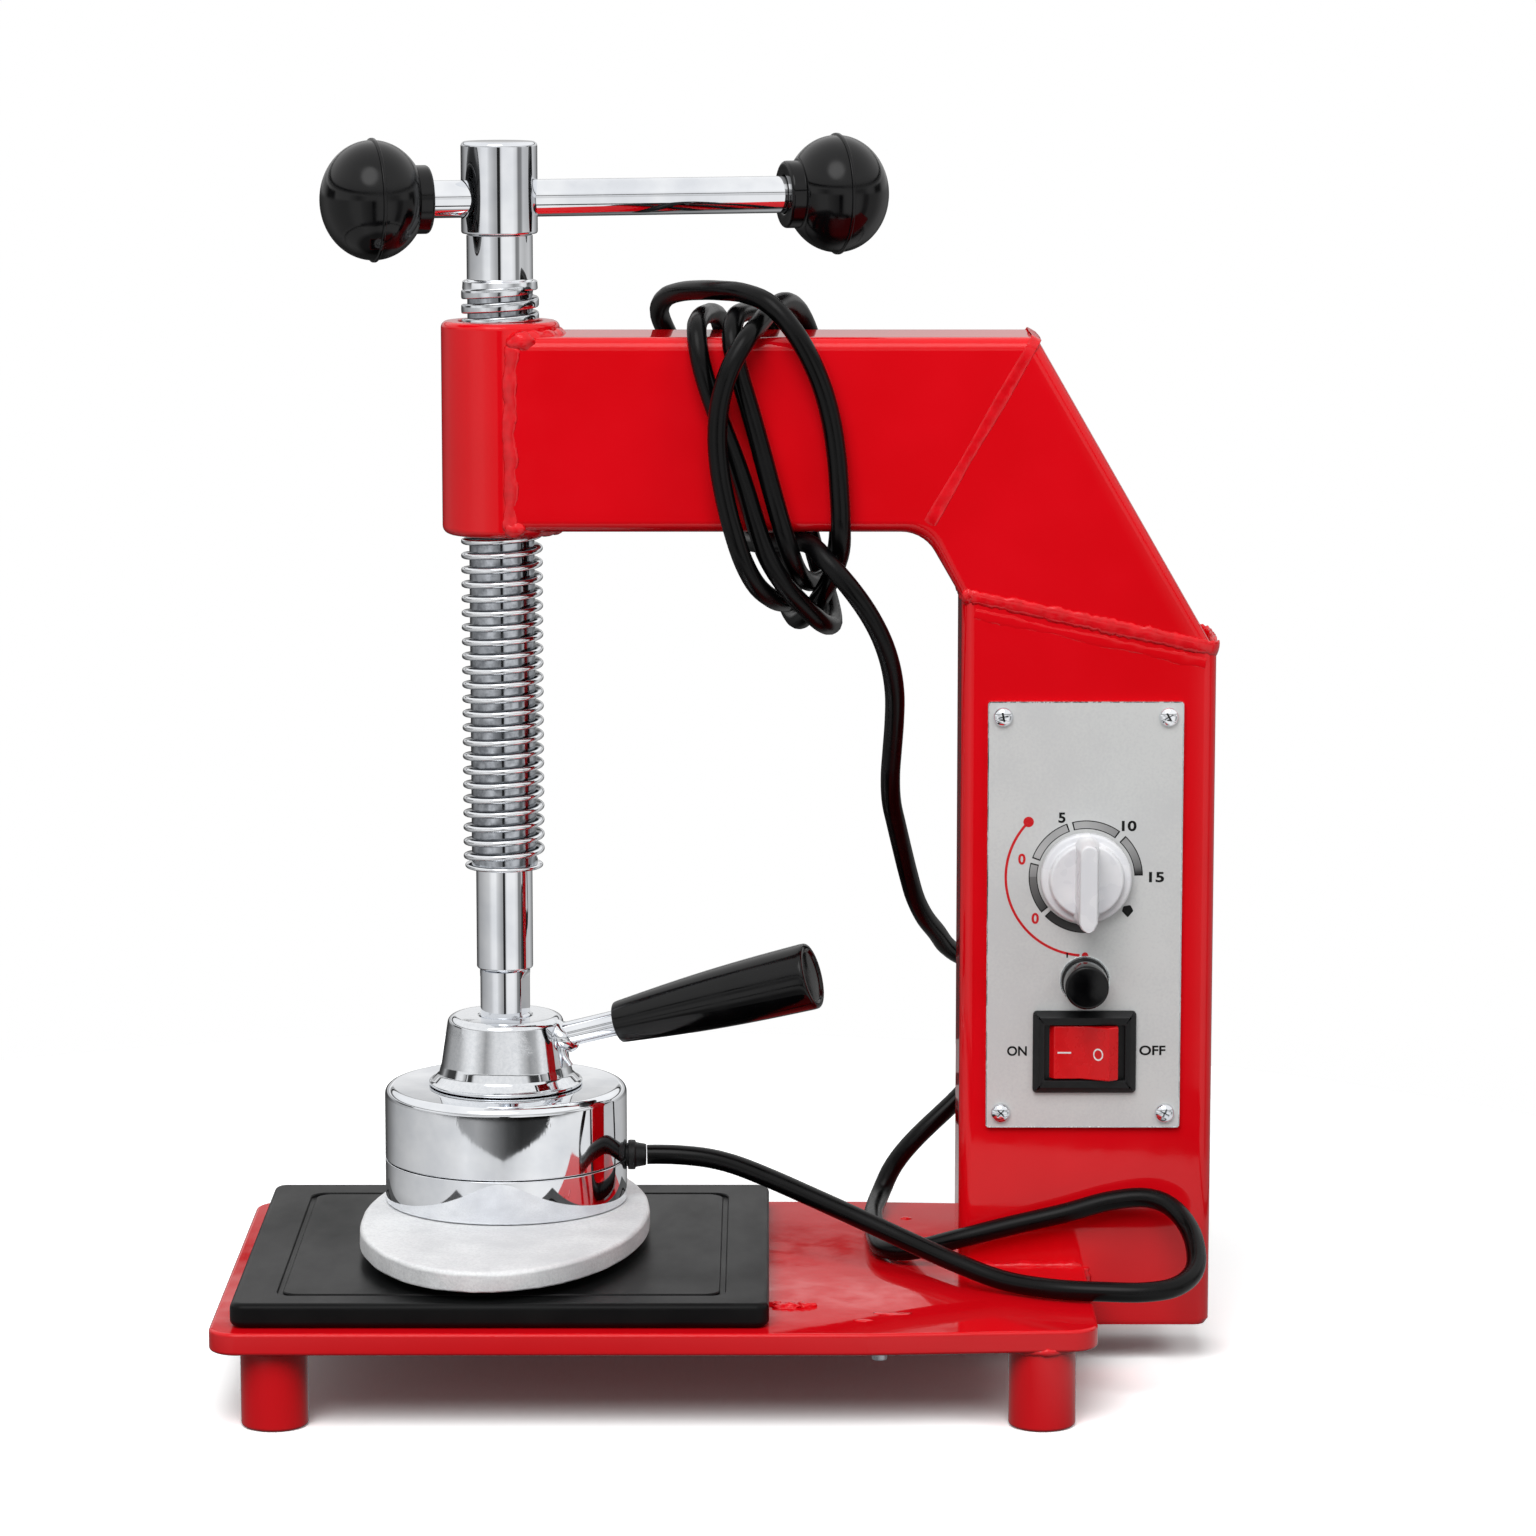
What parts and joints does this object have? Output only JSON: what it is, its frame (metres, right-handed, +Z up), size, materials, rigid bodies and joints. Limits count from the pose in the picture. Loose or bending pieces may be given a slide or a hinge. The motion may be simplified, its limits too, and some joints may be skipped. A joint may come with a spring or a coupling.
{
  "type": "tire vulcanizer",
  "caption": "Bench press with a heated screw-down head over a rubber pad, a bent square-tube frame, a timer, fuse and switch panel, and a mains cord.",
  "frame": {"origin": "bottom centre of the rigid part, cords left out, on the surface that it stands on", "axes": "+X to the viewer's right along the arm, -Y towards the viewer and out of the control panel, +Z up along the screw"},
  "size_m": [0.3086, 0.1726, 0.3859],
  "materials": {
    "red_enamel": "glossy red enamel",
    "bright_chrome": "mirror chrome plate",
    "screw_steel": "bright turned steel",
    "cast_aluminium": "shot-blasted casting",
    "pad_rubber": "matte black rubber",
    "black_bakelite": "glossy black moulding",
    "panel_aluminium": "grey anodised sheet with printed marks",
    "plated_steel": "bright plated",
    "white_plastic": "white moulding, satin",
    "black_nylon": "satin black nylon",
    "red_plastic": "red moulding",
    "timer_case": "off-white moulding",
    "mica": "pressed mica",
    "phenolic": "brown phenolic",
    "fuse_glass": "clear glass",
    "cord_rubber": "satin black cord cover"
  },
  "bodies": {
    "frame": {"base_plate": "red_enamel", "foot_front_left": "red_enamel", "foot_front_right": "red_enamel", "foot_rear_left": "red_enamel", "foot_rear_right": "red_enamel", "rubber_pad": "pad_rubber", "column_tube": "red_enamel", "column_cap": "red_enamel", "brace_tube": "red_enamel", "arm_tube": "red_enamel", "screw_boss": "red_enamel", "control_panel": "panel_aluminium", "panel_screw_top_left": "plated_steel", "panel_screw_top_right": "plated_steel", "panel_screw_bottom_left": "plated_steel", "panel_screw_bottom_right": "plated_steel", "timer_body": "timer_case", "switch_housing": "black_nylon", "fuse_holder": "black_nylon", "fuse_nut": "screw_steel", "fuse_cartridge": "fuse_glass", "terminal_block": "timer_case", "mains_gland": "cord_rubber", "heater_gland": "cord_rubber", "heater_lead_run": "cord_rubber", "mains_cord_run": "cord_rubber", "mains_cord_winding": "cord_rubber", "mains_cord_tail": "cord_rubber", "mains_plug": "cord_rubber"},
    "thrust": {"thrust_washer": "screw_steel"},
    "spindle": {"press_screw": "screw_steel", "screw_head": "bright_chrome"},
    "cross_bar": {"cross_bar": "bright_chrome", "ball_knob_left": "black_bakelite", "ball_knob_right": "black_bakelite"},
    "press_head": {"head_hub": "bright_chrome", "heater_cover": "bright_chrome", "heater_ring": "bright_chrome", "press_plate": "cast_aluminium", "heating_element": "screw_steel", "insulation_disc": "mica", "thermostat": "phenolic", "centre_stud": "screw_steel", "stud_nut": "screw_steel", "retaining_screw": "screw_steel", "lever_rod": "bright_chrome", "lever_grip": "black_bakelite", "lead_gland": "cord_rubber", "heater_lead_end": "cord_rubber"},
    "timer_knob": {"timer_knob": "white_plastic", "timer_shaft": "screw_steel"},
    "switch_rocker": {"switch_rocker": "red_plastic"},
    "fuse_cap": {"fuse_cap": "black_bakelite"}
  },
  "joints": [
    {"name": "head_lift", "type": "slide", "parent": "frame", "child": "thrust", "axis": [0, 0, 1], "range_m": [0, 0.088]},
    {"name": "screw_turn", "type": "hinge", "parent": "thrust", "child": "spindle", "pos_m": [-0.06865, 0.0181, 0.2], "axis": [0, 0, 1], "range_deg": [0, 6840]},
    {"name": "cross_bar_slide", "type": "slide", "parent": "spindle", "child": "cross_bar", "axis": [0.9593, 0.2823, 0], "range_m": [-0.0775, 0.0085]},
    {"name": "head_swivel", "type": "hinge", "parent": "thrust", "child": "press_head", "pos_m": [-0.06865, 0.0181, 0.1], "axis": [0, 0, 1], "range_deg": [-45, 45], "deforming": ["heater_lead_end"]},
    {"name": "timer_knob_turn", "type": "hinge", "parent": "frame", "child": "timer_knob", "pos_m": [0.114, -0.01, 0.1569], "axis": [0, 1, 0], "range_deg": [0, 270]},
    {"name": "switch_rock", "type": "hinge", "parent": "frame", "child": "switch_rocker", "pos_m": [0.114, -0.0022, 0.1013], "axis": [0, 0, 1], "range_deg": [0, 24]},
    {"name": "fuse_cap_pull", "type": "slide", "parent": "frame", "child": "fuse_cap", "axis": [0, -1, 0], "range_m": [0, 0.03]}
  ],
  "couplings": [
    {"joint": "head_lift", "follows": "screw_turn", "m_per_rad": 0.00073211}
  ]
}
